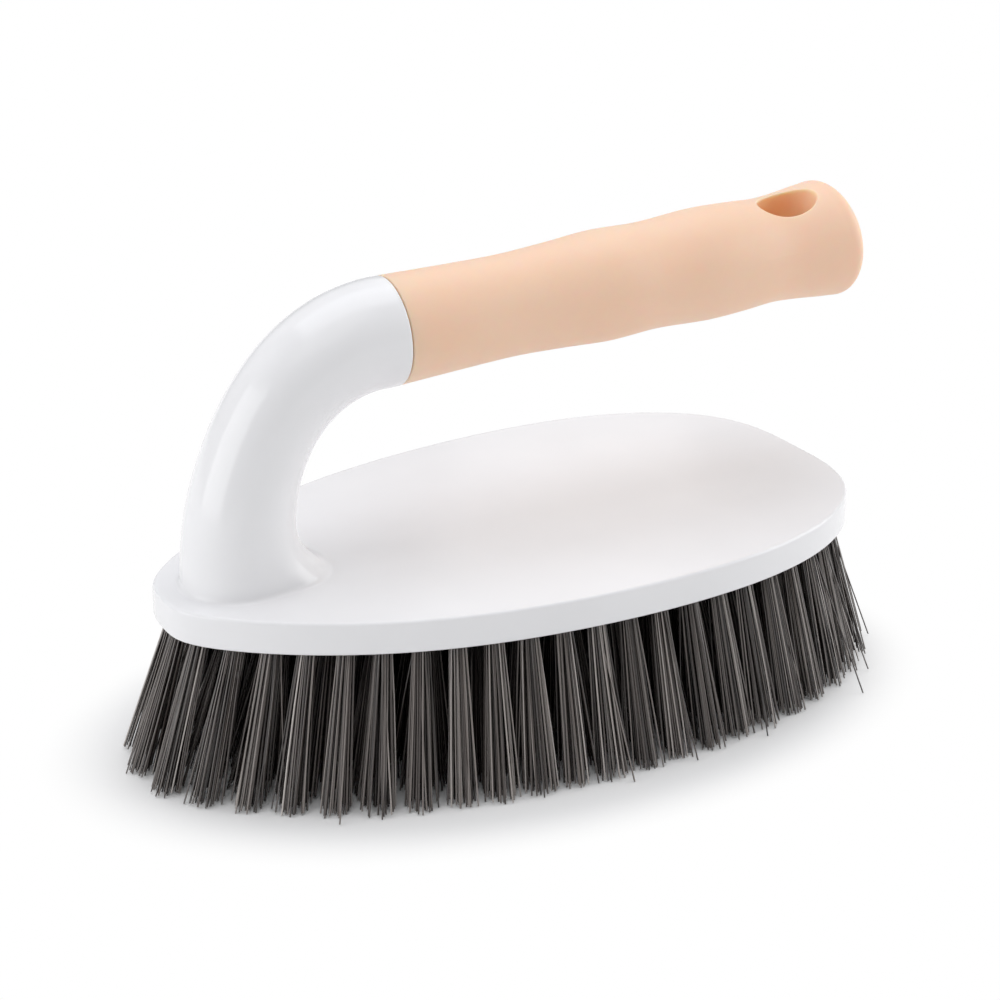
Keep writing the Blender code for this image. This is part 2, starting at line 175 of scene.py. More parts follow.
def oval():
    """Closed outline of the back in fine steps, from the neck end round by the near side."""
    turn = np.linspace(0, 2 * np.pi, 24001)
    along = -np.cos(turn)
    swell = 1 + sum(share * along ** (i + 1) for i, share in enumerate(OUTLINE_SWELLS))
    across = -np.sign(np.sin(turn)) * np.abs(np.sin(turn)) ** (2 * OUTLINE_BLUNTNESS) * swell
    return np.stack([along * BACK_LENGTH / 2, across / across.max() * BACK_WIDTH / 2], axis=1)


def even_points(line, count, phase=0):
    """Points at equal steps along a closed line, and the outward direction at each."""
    run = np.concatenate([[0], np.cumsum(np.hypot(*np.diff(line, axis=0).T))])
    at = (np.arange(count) + phase) / count * run[-1]
    nudge = run[-1] / len(line)

    def point(place):
        place = place % run[-1]
        return np.stack([np.interp(place, run, line[:, k]) for k in (0, 1)], axis=1)

    along = point(at + nudge) - point(at - nudge)
    along /= np.linalg.norm(along, axis=1)[:, None]
    return point(at), np.stack([along[:, 1], -along[:, 0]], axis=1)


def grip_point(along):
    return np.array((BEND_X + along * math.cos(GRIP_TILT), 0, AXIS_Z + along * math.sin(GRIP_TILT)))


def neck_line():
    """Fine points and directions of the neck's centreline, with the length up to each."""
    foot = np.array((FOOT_X, 0, BACK_Z))
    ends = [foot, foot + (0, 0, NECK_RISE), grip_point(-NECK_PULL), grip_point(0)]
    t = np.linspace(0, 1, 400)[:, None]
    line = (
        (1 - t) ** 3 * ends[0] + 3 * (1 - t) ** 2 * t * ends[1]
        + 3 * (1 - t) * t**2 * ends[2] + t**3 * ends[3]
    )
    ahead = (
        (1 - t) ** 2 * (ends[1] - ends[0]) + 2 * (1 - t) * t * (ends[2] - ends[1])
        + t**2 * (ends[3] - ends[2])
    )
    ahead /= np.linalg.norm(ahead, axis=1)[:, None]
    run = np.concatenate([[0], np.cumsum(np.linalg.norm(np.diff(line, axis=0), axis=1))])
    return line, ahead, run


def neck_row(length, offset, turn):
    """A row round the neck at one length, moved outwards by an offset; low down its hand's side is
    drawn out into the foot."""
    line, ahead, run = neck_line()
    centre = np.array([np.interp(length, run, line[:, k]) for k in range(3)])
    towards = np.array([np.interp(length, run, ahead[:, k]) for k in range(3)])
    towards /= np.linalg.norm(towards)
    inner = np.array((towards[2], 0, -towards[0]))
    radius = SEAM_RADIUS * smooth_through(NECK_RADII, length / run[-1]) + offset
    flare = max(0, 1 - length / FOOT_FLARE_HEIGHT) ** FOOT_FLARE_POWER
    power = 1 - (1 - FOOT_FRONT_POWER) * flare
    front = np.maximum(np.cos(turn), 0)
    reach = np.where(front > 0, front**power, np.cos(turn))
    reach = radius * reach + FOOT_FLARE * flare * ease(front / FOOT_FRONT_SHARE)
    side = np.sin(turn)
    across = radius * np.where(front > 0, np.abs(side) ** power * np.sign(side), side)
    return centre + reach[:, None] * inner + across[:, None] * np.array((0, 1, 0))


def axis_row(along, radius, turn):
    ahead = np.array((math.cos(GRIP_TILT), 0, math.sin(GRIP_TILT)))
    inner = np.array((ahead[2], 0, -ahead[0]))
    out = np.cos(turn)[:, None] * inner + np.sin(turn)[:, None] * np.array((0, 1, 0))
    return grip_point(along) + radius * out


def back_rows():
    """Rows of the moulding, from under its ceiling out over the rim, in to the foot and up the
    neck to the spigot's tip."""
    outline, outward = even_points(oval(), AROUND)
    turn = np.arctan2(outline[:, 1], outline[:, 0] - FOOT_X)
    rows = []

    def level(inset, height):
        flat = outline - outward * inset
        rows.append(np.column_stack([flat, np.full(AROUND, height)]))

    # The drafted side stands out by this much at its foot
    low = -(BACK_Z - SKIRT_Z) * math.tan(BACK_DRAFT)
    level(SKIRT_WALL + CEILING_REACH, CEILING_Z)
    level(SKIRT_WALL, CEILING_Z)
    level(SKIRT_WALL, SKIRT_Z + SKIRT_EDGE)
    level(SKIRT_WALL - SKIRT_EDGE / 4, SKIRT_Z + SKIRT_EDGE / 4)
    level(SKIRT_WALL - SKIRT_EDGE, SKIRT_Z)
    for step in np.linspace(0, np.pi / 2, EDGE_ROWS):
        inset = LOWER_EDGE_RADIUS * (1 - math.sin(step))
        level(low + inset, SKIRT_Z + LOWER_EDGE_RADIUS * (1 - math.cos(step)))
    level(low * 0.9, SKIRT_Z + LOWER_EDGE_RADIUS + FLAT_HOLD)
    level(low * 0.1, BACK_Z - TOP_EDGE_RADIUS - FLAT_HOLD)
    for step in np.linspace(0, np.pi / 2, TOP_EDGE_ROWS):
        inset = TOP_EDGE_RADIUS * (1 - math.cos(step))
        level(inset, BACK_Z - TOP_EDGE_RADIUS * (1 - math.sin(step)))
    level(TOP_EDGE_RADIUS + FLAT_HOLD, BACK_Z)
    level(TOP_EDGE_RADIUS + FLAT_HOLD_FURTHER, BACK_Z)

    for further in FOOT_HOLDS:
        row = neck_row(0, FOOT_FILLET + further, turn)
        row[:, 2] = BACK_Z
        rows.append(row)
    for step in np.linspace(np.pi / 2, 0, EDGE_ROWS):
        up, out = FOOT_FILLET * (1 - math.sin(step)), FOOT_FILLET * (1 - math.cos(step))
        rows.append(neck_row(up, out, turn))
    rows[-EDGE_ROWS][:, 2] = BACK_Z
    _, _, run = neck_line()
    flare = FOOT_FLARE_HEIGHT - FOOT_FILLET
    for share in np.linspace(0, 1, FLARE_ROWS)[1:]:
        rows.append(neck_row(FOOT_FILLET + flare * share**FLARE_ROWS_CROWD, 0, turn))
    for length in np.linspace(FOOT_FLARE_HEIGHT, run[-1], NECK_ROWS)[1:]:
        rows.append(neck_row(length, 0, turn))
    for step in np.linspace(0, np.pi / 2, SEAM_ROWS):
        along = SEAM_FROM_BEND - SEAM_EDGE_RADIUS * (1 - math.sin(step))
        rows.append(axis_row(along, SEAM_RADIUS - SEAM_EDGE_RADIUS * (1 - math.cos(step)), turn))
    rows.append(axis_row(SEAM_FROM_BEND, SPIGOT_RADIUS + 1, turn))
    rows.append(axis_row(SEAM_FROM_BEND, SPIGOT_RADIUS, turn))
    rows.append(axis_row(SEAM_FROM_BEND + SPIGOT_LENGTH, SPIGOT_RADIUS - SPIGOT_TAPER, turn))
    return rows


def make_back(finish):
    """The back with its neck, one closed skin from row to row."""
    rows = back_rows()
    points = np.concatenate(rows)
    faces = []
    for number in range(len(rows) - 1):
        low = range(number * AROUND, (number + 1) * AROUND)
        high = range((number + 1) * AROUND, (number + 2) * AROUND)
        faces += strip_faces(list(low), list(high))
    faces.append(tuple(range(AROUND))[::-1])
    faces.append(tuple(range(len(points) - AROUND, len(points))))
    return new_piece("back_with_neck", points, faces, finish)


def grip_radius(along):
    return SEAM_RADIUS * smooth_through(GRIP_RADII, along / GRIP_LENGTH)


def end_lean(along):
    """How far the raked end leans at each place, as a share of the height over the axis."""
    return math.tan(GRIP_END_RAKE) * np.minimum(1, along / GRIP_LENGTH) ** 8


def grip_points(along, radius, turn):
    """Points of the grip in its eye's frame: the axis on X from the seam, the eye upright. The
    end's rake keeps to the brush's own upright."""
    lean = end_lean(along) * radius * np.cos(turn - EYE_TURN)
    return np.stack([along - lean, radius * np.sin(turn), radius * np.cos(turn)], axis=-1)


def grip_surface(along, turn):
    return grip_points(along, grip_radius(along), turn)


def grip_skin_at(place, across, top):
    """Points on the grip's skin, straight above or below the given (place, across)."""
    along = place.astype(float).copy()
    for _ in range(6):
        radius = grip_radius(along)
        turn = np.arcsin(np.clip(across / radius, -1, 1))
        turn = turn if top else np.pi - turn
        along = place + end_lean(along) * radius * np.cos(turn - EYE_TURN)
    return grip_surface(along, turn)


def smooth_curve(points, count):
    """Even points on a smooth curve through the given ones."""
    points = np.array(points, float)
    run = np.concatenate([[0], np.cumsum(np.linalg.norm(np.diff(points, axis=0), axis=1))])
    at = np.linspace(0, run[-1], count)
    columns = [smooth_through(list(zip(run, points[:, k])), at) for k in range(points.shape[1])]
    return np.stack(columns, axis=1)


# The window in the grip's grid that takes the eye: its reach along the grip, and its faces to
# each side
WINDOW_START = 113
WINDOW_END = 143
WINDOW_SIDES = 17
EYE_SPREAD_ROWS = 7
EYE_EDGE_ROWS = 9
EYE_WALL_ROWS = 14
EYE_EDGE_DEPTH = 1.5
# The dome's curve starts a little before the window's end, its first row stands clear of it, and
# its tip is a small flat
DOME_LEAD = 3
DOME_CLEAR = 0.3
DOME_START = 0.12
DOME_TIP_RADIUS = 0.2


def make_grip(finish):
    """The grip as one closed skin; its eye is let in through a window in the grid of faces."""
    turn = 2 * np.pi * np.arange(GRIP_SIDES) / GRIP_SIDES
    before = np.linspace(FIT_GAP + GRIP_EDGE_RADIUS, WINDOW_START, GRIP_ROWS)
    within = np.linspace(WINDOW_START, WINDOW_END, WINDOW_ROWS)

    def round_row(along, radius):
        flat = [np.full(GRIP_SIDES, along), radius * np.sin(turn), radius * np.cos(turn)]
        return np.stack(flat, axis=1)

    rows = [round_row(FIT_GAP, SPIGOT_RADIUS + FIT_GAP)]
    for step in np.linspace(np.pi / 2, 0, GRIP_EDGE_ROWS):
        radius = grip_radius(FIT_GAP) - GRIP_EDGE_RADIUS * (1 - math.cos(step))
        rows.append(round_row(FIT_GAP + GRIP_EDGE_RADIUS * (1 - math.sin(step)), radius))
    rows += [grip_surface(np.full(GRIP_SIDES, along), turn) for along in before[1:]]
    first = len(rows) - 1
    rows += [grip_surface(np.full(GRIP_SIDES, along), turn) for along in within[1:]]
    last = len(rows) - 1
    end_radius = SEAM_RADIUS * GRIP_RADII[-1][1]
    profile = [(along, grip_radius(along)) for along in (WINDOW_END - DOME_LEAD, WINDOW_END)]
    for step in np.linspace(DOME_START, 1, DOME_POINTS)[:-1] * np.pi / 2:
        along = GRIP_LENGTH + GRIP_END_DOME * math.sin(step)
        profile.append((along, end_radius * math.cos(step) ** GRIP_DOME_POWER))
    profile.append((GRIP_LENGTH + GRIP_END_DOME, 0))
    curve = smooth_curve(profile, DOME_ROWS)
    curve = curve[curve[:, 0] > WINDOW_END + DOME_CLEAR]
    for along, radius in curve[:-1]:
        rows.append(grip_points(np.full(GRIP_SIDES, along), max(radius, DOME_TIP_RADIUS), turn))
    points = [tuple(p) for row in rows for p in row]
    number = np.arange(len(points)).reshape(len(rows), GRIP_SIDES)

    faces = [tuple(number[0])]
    half = WINDOW_SIDES
    middles = (0, GRIP_SIDES // 2)
    opened = {(side + shift) % GRIP_SIDES for side in middles for shift in range(-half, half)}
    for j in range(len(rows) - 1):
        for i in range(GRIP_SIDES):
            if first <= j < last and i in opened:
                continue
            k = (i + 1) % GRIP_SIDES
            faces.append((number[j, i], number[j + 1, i], number[j + 1, k], number[j, k]))
    faces.append(tuple(number[-1])[::-1])

    # From the window's edge rings run in to the eye's oval, and round its edge into its wall
    rims = []
    for top in (True, False):
        middle = 0 if top else GRIP_SIDES // 2
        way = 1 if top else -1
        columns = [(middle + way * shift) % GRIP_SIDES for shift in range(-half, half + 1)]
        loop = [number[j, columns[-1]] for j in range(first, last)]
        loop += [number[last, c] for c in columns[:0:-1]]
        loop += [number[j, columns[0]] for j in range(last, first, -1)]
        loop += [number[first, c] for c in columns[:-1]]
        edge = np.array([points[n] for n in loop])
        from_eye = (edge[:, 0] - EYE_ALONG) / EYE_HALF_LENGTH
        angle = np.arctan2(edge[:, 1] / EYE_HALF_WIDTH, from_eye)
        face_way = 1 if top else -1

        def oval_at(wider):
            return np.stack([
                EYE_ALONG + (EYE_HALF_LENGTH + wider) * np.cos(angle),
                (EYE_HALF_WIDTH + wider) * np.sin(angle),
            ], axis=1)

        rings = []
        outer = oval_at(EYE_EDGE)
        for share in np.linspace(0, 1, EYE_SPREAD_ROWS)[1:]:
            flat = edge[:, :2] + (outer - edge[:, :2]) * share
            rings.append(grip_skin_at(flat[:, 0], flat[:, 1], top))
        start = rings[-1]
        corner = grip_skin_at(*oval_at(0).T, top)
        wall = corner - np.array((0, 0, face_way * EYE_EDGE * EYE_EDGE_DEPTH))
        for t in np.linspace(0, 1, EYE_EDGE_ROWS)[1:]:
            rings.append((1 - t) ** 2 * start + 2 * t * (1 - t) * corner + t * t * wall)
        previous = loop
        for ring in rings:
            current = list(range(len(points), len(points) + len(ring)))
            points += [tuple(p) for p in ring]
            faces += [f[::face_way] for f in strip_faces(previous, current)]
            previous = current
        rims.append((previous, rings[-1]))
    (upper, upper_ring), (lower, lower_ring) = rims
    previous = upper
    for t in np.linspace(0, 1, EYE_WALL_ROWS)[1:-1]:
        current = list(range(len(points), len(points) + len(upper)))
        points += [tuple(p) for p in upper_ring * (1 - t) + lower_ring * t]
        faces += strip_faces(previous, current)
        previous = current
    faces += strip_faces(previous, lower)

    points = np.array(points)
    turned = np.array(Matrix.Rotation(-GRIP_TILT, 3, "Y") @ Matrix.Rotation(EYE_TURN, 3, "X"))
    points = points @ turned.T + grip_point(SEAM_FROM_BEND)
    return new_piece("grip_skin", points, faces, finish)


def drawn_in(line, inset):
    """A closed line moved inwards."""
    along = np.roll(line[:-1], -1, axis=0) - np.roll(line[:-1], 1, axis=0)
    along /= np.linalg.norm(along, axis=1)[:, None]
    moved = line[:-1] - np.stack([along[:, 1], -along[:, 0]], axis=1) * inset
    return np.concatenate([moved, moved[:1]])


def lean_ways(points):
    """Directions in which the tufts lean, away from places on the brush's axis between the tufts
    and its middle."""
    ways = np.stack([LEAN_ALONG * points[:, 0] - LEAN_MIDDLE, points[:, 1]], axis=1)
    return ways / np.linalg.norm(ways, axis=1)[:, None]


def tuft_groups():
    """(node name, mouths, leans) of each group of tufts."""
    outermost = drawn_in(oval(), RIM_TO_TUFTS)
    spacing = (BACK_WIDTH / 2 - RIM_TO_TUFTS) / RING_COUNT
    groups = []

    def split(name, points, leans, together):
        parts = np.array_split(range(len(points)), max(1, round(len(points) / together)))
        for number, part in enumerate(parts):
            groups.append((f"{name}_{number + 1:02d}", points[part], leans[part]))

    for number in range(RING_COUNT):
        line = outermost * (1 - spacing * number / outermost.max(axis=0))
        round_it = np.hypot(*np.diff(line, axis=0).T).sum()
        pitch, start = (INNER_PITCH, INNER_START) if number else (OUTER_PITCH, OUTER_START)
        points, _ = even_points(line, round(round_it / pitch), start)
        more = 1 - NECK_END_LEAN * points[:, 0] / (BACK_LENGTH / 2)
        reach = OUTER_LEAN * (1 - number / RING_COUNT)
        leans = lean_ways(points) * (reach * more)[:, None]
        split(f"tuft_ring_{number + 1}", points, leans, TUFTS_IN_GROUP)
    half = line[:, 0].max() - ROW_FROM_RING
    side = round(half / OUTER_PITCH)
    row = np.array([(half * i / side, 0) for i in range(-side, side + 1)])
    split("tuft_middle_row", row, np.zeros_like(row), TUFTS_IN_ROW_GROUP)
    return groups


FILAMENT_RADIUS = 0.22
FILAMENT_SIDES = 6
BUNCH_RADIUS = 2.15
FILAMENT_TOP = PLATE_Z + 2.5
# Shares of the way down at which a filament has a ring of points
FILAMENT_RINGS = (0, 0.38, 0.72, 1.0)
# The outermost tufts stand out as bundles; those behind them spread and fill the field
OUTER_TUFT = {"count": 48, "fan": 4.4, "lean": 0.95}
INNER_TUFT = {"count": 60, "fan": 7.8, "lean": 1.12}
# How unruly the filaments are: shares, and spreads in millimetres
BUNCH_JITTER = 0.05
FAN_RANGE = (0.92, 1.1)
TIP_JITTER = 0.45
STRAY_SHARE = 0.06
STRAY_REACH = 3.0
TRIM_JITTER = 0.55
TUFT_TRIM = 0.25
BOW = 0.16
# Angles in radians: from one filament of a bunch to the next, and the most that a draw turns
GOLDEN_ANGLE = 2.399963
FULL_TURN = 6.28


def make_filaments(name, mouths, leans, draw, finish):
    """The filaments of one group of tufts: bunched in their holes, fanned out to cut tips."""
    tuft = OUTER_TUFT if name.startswith("tuft_ring_1") else INNER_TUFT
    count = tuft["count"]
    points, faces = [], []
    around = 2 * np.pi * np.arange(FILAMENT_SIDES) / FILAMENT_SIDES
    total = 0
    for mouth, lean in zip(mouths, leans):
        golden = np.arange(count) * GOLDEN_ANGLE + draw.uniform(0, FULL_TURN)
        reach = np.sqrt((np.arange(count) + 0.5) / count)
        spot = np.stack([np.cos(golden), np.sin(golden)], axis=1) * reach[:, None]
        spot += draw.normal(0, BUNCH_JITTER, (count, 2))
        root = mouth + spot * BUNCH_RADIUS
        fan = tuft["fan"] * draw.uniform(*FAN_RANGE)
        tip = mouth + lean * tuft["lean"] + spot * fan + draw.normal(0, TIP_JITTER, (count, 2))
        stray = draw.random(count) < STRAY_SHARE
        tip += stray[:, None] * draw.normal(0, STRAY_REACH, (count, 2))
        tip_z = np.abs(draw.normal(0, TRIM_JITTER, count)) + TUFT_TRIM * draw.random()
        bow = draw.normal(0, BOW, (count, 2))
        path = []
        for t in FILAMENT_RINGS:
            flat = root + (tip - root) * t + bow * (4 * t * (1 - t))
            path.append(np.column_stack([flat, FILAMENT_TOP + (tip_z - FILAMENT_TOP) * t]))
        path = np.stack(path, axis=1)
        spin = draw.uniform(0, FULL_TURN, count)
        ring = np.stack([np.cos(around + spin[:, None]), np.sin(around + spin[:, None])], axis=2)
        ring = ring * FILAMENT_RADIUS
        body = np.repeat(path[:, :, None, :], FILAMENT_SIDES, axis=2)
        body[..., :2] += ring[:, None]
        points.append(body.reshape(-1, 3))
        size = len(FILAMENT_RINGS) * FILAMENT_SIDES
        for f in range(count):
            start = total + f * size
            for ring_start in range(start, start + size - FILAMENT_SIDES, FILAMENT_SIDES):
                upper = range(ring_start, ring_start + FILAMENT_SIDES)
                lower = [n + FILAMENT_SIDES for n in upper]
                faces += strip_faces(lower, upper)
            faces.append(tuple(lower)[::-1])
        total += count * size
    return new_piece(f"{name}_filaments", np.concatenate(points), faces, finish, sharp=60)


def linear(hex_colour):
    """Linear RGBA of an sRGB hex colour."""
    parts = [int(hex_colour[i : i + 2], 16) / 255 for i in (1, 3, 5)]
    return (*[c / 12.92 if c <= 0.04045 else ((c + 0.055) / 1.055) ** 2.4 for c in parts], 1)


def add_node(tree, kind, settings=(), links=()):
    """A node with its settings, by attribute or input, and its links (input, socket). The setting
    "stops" holds a colour ramp's places and hex colours."""
    made = tree.nodes.new(kind)
    for key, value in dict(settings).items():
        if key == "stops":
            elements = made.color_ramp.elements
            while len(elements) < len(value):
                elements.new(0.5)
            for element, (place, colour) in zip(elements, value):
                element.position = place
                element.color = linear(colour)
        elif isinstance(key, int) or key in made.inputs:
            made.inputs[key].default_value = value
        else:
            setattr(made, key, value)
    for key, socket in dict(links).items():
        tree.links.new(socket, made.inputs[key])
    return made


def new_material(name, settings):
    """A material with its one shader's settings, and its node tree and shader."""
    made = bpy.data.materials.new(name)
    made.use_nodes = True
    tree = made.node_tree
    shader = tree.nodes["Principled BSDF"]
    for key, value in settings.items():
        shader.inputs[key].default_value = value
    return made, tree, shader


def white_polypropylene():
    """Injection-moulded polypropylene, cool white: glossy, with a broad soft highlight."""
    made, tree, shader = new_material("moulded_white_polypropylene", {
        "Roughness": 0.15, "IOR": 1.49, "Metallic": 0.0,
    })
    place = add_node(tree, "ShaderNodeTexCoord").outputs["Object"]
    # The tone drifts barely to the eye, in clouds about 30 mm across
    cloud = add_node(tree, "ShaderNodeTexNoise", {"Scale": 1 / (30 * MM), "Detail": 2}, {"Vector": place})
    tone = add_node(tree, "ShaderNodeValToRGB", {
        "stops": [(0.3, "#EFEFF1"), (0.7, "#F2F2F4")],
    }, {"Fac": cloud.outputs["Fac"]})
    tree.links.new(tone.outputs["Color"], shader.inputs["Base Color"])
    # Faint waves in the gloss, about 6 mm across, so that the highlights aren't perfectly even
    skin = add_node(tree, "ShaderNodeTexNoise", {"Scale": 1 / (6 * MM), "Detail": 1}, {"Vector": place})
    bump = add_node(tree, "ShaderNodeBump", {"Strength": 0.04, "Distance": 0.4 * MM}, {
        "Height": skin.outputs["Fac"],
    })
    tree.links.new(bump.outputs["Normal"], shader.inputs["Normal"])
    return made


def white_block():
    """Satin moulded polypropylene of the drilled plate: white, without a sharp highlight."""
    made, tree, shader = new_material("moulded_white_polypropylene_satin", {
        "Roughness": 0.45, "IOR": 1.49, "Metallic": 0.0,
    })
    place = add_node(tree, "ShaderNodeTexCoord").outputs["Object"]
    # Clouds about as far apart as the tufts
    cloud = add_node(tree, "ShaderNodeTexNoise", {"Scale": 1 / (12 * MM), "Detail": 3}, {"Vector": place})
    tone = add_node(tree, "ShaderNodeValToRGB", {
        "stops": [(0.3, "#E6E6E8"), (0.7, "#EEEEEF")],
    }, {"Fac": cloud.outputs["Fac"]})
    tree.links.new(tone.outputs["Color"], shader.inputs["Base Color"])
    return made


def peach_elastomer():
    """Moulded thermoplastic elastomer, peach: matt, a little translucent, with fine drawn marks, and
    painted glow and highlight in its eye.
    """
    made, tree, shader = new_material("moulded_peach_thermoplastic_elastomer", {
        "Roughness": 0.52, "IOR": 1.5, "Metallic": 0.0,
        "Subsurface Weight": 0.5, "Subsurface Scale": 6 * MM,
        "Subsurface Radius": (1.0, 0.42, 0.2),
    })
    place = add_node(tree, "ShaderNodeTexCoord").outputs["Object"]
    # Clouds about 24 mm across, a little less than the grip's thickness
    cloud = add_node(tree, "ShaderNodeTexNoise", {"Scale": 1 / (24 * MM), "Detail": 3}, {"Vector": place})
    tone = add_node(tree, "ShaderNodeValToRGB", {
        "stops": [(0.3, "#F7D0B4"), (0.7, "#FAD5BA")],
    }, {"Fac": cloud.outputs["Fac"]})

    # Painted light: the eye's wall is painted deeper orange, standing in for light bounced from wall to
    # wall and passed through the skin, less so towards the grip's end, and its thin edge is painted paler
    # as a painted highlight
    in_eye = add_node(tree, "ShaderNodeMapping", {
        "vector_type": "TEXTURE", "Location": grip_point(SEAM_FROM_BEND + EYE_ALONG) * MM,
        "Rotation": (EYE_TURN, -GRIP_TILT, 0),
        "Scale": (EYE_HALF_LENGTH * MM, EYE_HALF_WIDTH * MM, 1),
    }, {"Vector": place}).outputs["Vector"]
    flat = add_node(tree, "ShaderNodeVectorMath", {"operation": "MULTIPLY", 1: (1, 1, 0)}, {0: in_eye})
    reach = add_node(tree, "ShaderNodeVectorMath", {"operation": "LENGTH"}, {0: flat.outputs["Vector"]})
    near = add_node(tree, "ShaderNodeMapRange", {"From Min": 0.9, "From Max": 1.4}, {
        "Value": reach.outputs["Value"],
    }).outputs["Result"]
    along = add_node(tree, "ShaderNodeSeparateXYZ", {}, {0: in_eye})
    # Painted glow of the eye's wall: deeper orange, paler towards the grip's end
    wall = add_node(tree, "ShaderNodeValToRGB", {
        "stops": [(0.35, "#FFCE9F"), (0.95, "#FFDCBC")],
    }, {"Fac": along.outputs["X"]})
    # Painted highlight: a paler band round the eye's edge
    edge = add_node(tree, "ShaderNodeValToRGB", {
        "stops": [(0.225, "#FFD6B0"), (0.28, "#FFDDC0"), (0.42, "#F9D2B7")],
    }, {"Fac": near})
    painted_eye_light_share = add_node(tree, "ShaderNodeValToRGB", {
        "stops": [(0.28, "#FFFFFF"), (0.42, "#000000")],
    }, {"Fac": near})
    painted_edge_highlight_share = add_node(tree, "ShaderNodeValToRGB", {
        "stops": [(0.19, "#000000"), (0.225, "#FFFFFF")],
    }, {"Fac": near})
    # The painted eye light: the wall's glow within, the highlight band at its edge
    through = add_node(tree, "ShaderNodeMix", {"data_type": "RGBA"}, {
        0: painted_edge_highlight_share.outputs["Color"], 6: wall.outputs["Color"], 7: edge.outputs["Color"],
    })
    skin = add_node(tree, "ShaderNodeMix", {"data_type": "RGBA"}, {
        0: painted_eye_light_share.outputs["Color"], 6: tone.outputs["Color"], 7: through.outputs[2],
    })
    tree.links.new(skin.outputs[2], shader.inputs["Base Color"])

    # Faint scuffs along the grip, 20 mm long and 1.2 mm apart, drawn coarse enough to show
    drawn = add_node(tree, "ShaderNodeMapping", {
        "Scale": (1 / (20 * MM), 1 / (1.2 * MM), 1 / (1.2 * MM)),
    }, {"Vector": place})
    marks = add_node(tree, "ShaderNodeTexNoise", {"Scale": 1, "Detail": 3}, {
        "Vector": drawn.outputs["Vector"],
    })
    bump = add_node(tree, "ShaderNodeBump", {"Strength": 0.08, "Distance": 0.2 * MM}, {
        "Height": marks.outputs["Fac"],
    })
    tree.links.new(bump.outputs["Normal"], shader.inputs["Normal"])
    return made


def nylon_filament():
    """Extruded nylon filament, dark grey-brown: round and semi-gloss, each a tone of its own, with
    painted shade deep among the tufts.
    """
    made, tree, shader = new_material("extruded_dark_nylon_filament", {
        "Roughness": 0.3, "IOR": 1.53, "Metallic": 0.0,
    })
    own = add_node(tree, "ShaderNodeNewGeometry").outputs["Random Per Island"]
    tone = add_node(tree, "ShaderNodeValToRGB", {
        "stops": [(0, "#231B18"), (0.5, "#544B47"), (0.85, "#8A827D"), (1, "#BEB7B2")],
    }, {"Fac": own})
    # Painted shade: filaments shut in by others within 18 mm, about two tufts off, are painted darker by
    # ambient occlusion, and their specular level is lowered there too
    around = add_node(tree, "ShaderNodeAmbientOcclusion", {"samples": 6, "Distance": 18 * MM})
    clear = add_node(tree, "ShaderNodeMapRange", {"From Min": 0.1, "From Max": 0.42}, {
        "Value": around.outputs["AO"],
    }).outputs["Result"]
    painted_shade_factor = add_node(tree, "ShaderNodeMath", {"operation": "MULTIPLY_ADD", 1: 0.82, 2: 0.18}, {0: clear})
    painted_shade_tone = add_node(tree, "ShaderNodeMix", {"data_type": "RGBA", "blend_type": "MULTIPLY", 0: 1.0}, {
        6: tone.outputs["Color"], 7: painted_shade_factor.outputs[0],
    })
    tree.links.new(painted_shade_tone.outputs[2], shader.inputs["Base Color"])
    tree.links.new(clear, shader.inputs["Specular IOR Level"])
    return made


def area_light(name, place, aim, width, height, power, colour):
    """A softbox at a place, turned to its aim, all in metres."""
    data = bpy.data.lights.new(name, "AREA")
    data.shape = "RECTANGLE"
    data.size, data.size_y = width, height
    data.energy = power
    data.color = linear(colour)[:3]
    made = bpy.data.objects.new(name, data)
    made.location = place
    towards = Vector(aim) - Vector(place)
    made.rotation_euler = towards.to_track_quat("-Z", "Y").to_euler()
    bpy.context.scene.collection.objects.link(made)


# The shadow keeps to an oval round the tips, in metres, and fades out between these shares of it
SHADOW_MIDDLE = (-0.009, -0.0114, 0)
SHADOW_TURN = -0.18
SHADOW_HALF_SIZE = (0.118, 0.070, 1)
SHADOW_FULL = 0.86
SHADOW_GONE = 1.135
FLOOR_HALF = 3
FILL_STRENGTH = 0.25


